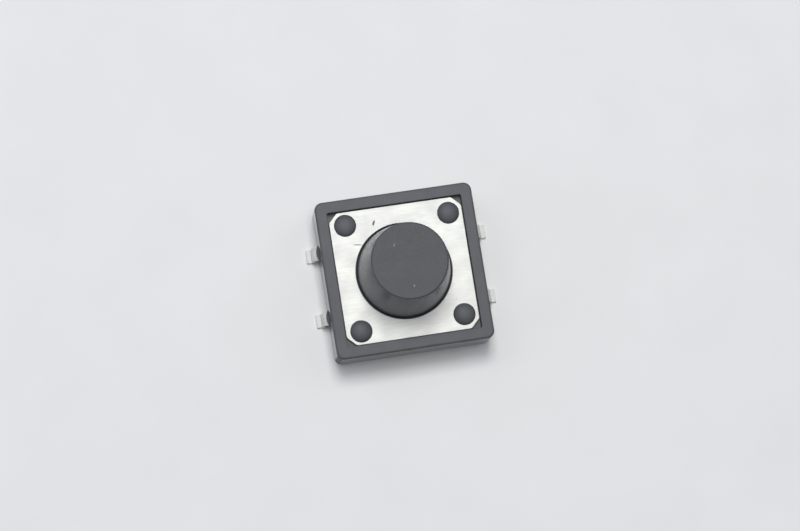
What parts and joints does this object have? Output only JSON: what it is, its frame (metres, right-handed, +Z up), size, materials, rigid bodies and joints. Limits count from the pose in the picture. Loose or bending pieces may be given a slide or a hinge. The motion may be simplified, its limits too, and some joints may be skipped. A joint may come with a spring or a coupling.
{
  "type": "tactile push button switch",
  "caption": "Square surface-mount tactile switch with a round tapered black button, a bright riveted sheet-metal cover, a black moulded base and four short bent solder feet.",
  "frame": {"origin": "centre of the base's underside, which sits on the circuit board together with the four feet", "axes": "+Z up out of the board along the button's travel axis; X from one pair of legs to the other; Y along each pair"},
  "size_m": [0.0138, 0.012, 0.0085],
  "materials": {
    "base_plastic": "black moulded, faint sheen",
    "button_plastic": "black moulded, fine matt texture",
    "cover_metal": "bright, finely brushed",
    "terminal_metal": "tinned, dull silver with a warm tint",
    "dome_metal": "thin spring steel",
    "film": "thin amber film"
  },
  "bodies": {
    "housing": {"base": "base_plastic", "cover_plate": "cover_metal", "snap_dome": "dome_metal", "dome_film": "film", "terminal_common": "terminal_metal", "terminal_signal": "terminal_metal"},
    "plunger": {"button": "button_plastic"}
  },
  "joints": [
    {"name": "button_press", "type": "slide", "parent": "housing", "child": "plunger", "axis": [0, 0, -1], "range_m": [0, 0.0003], "stiffness_N_per_m": 6500, "deforming": ["snap_dome", "dome_film"]}
  ]
}
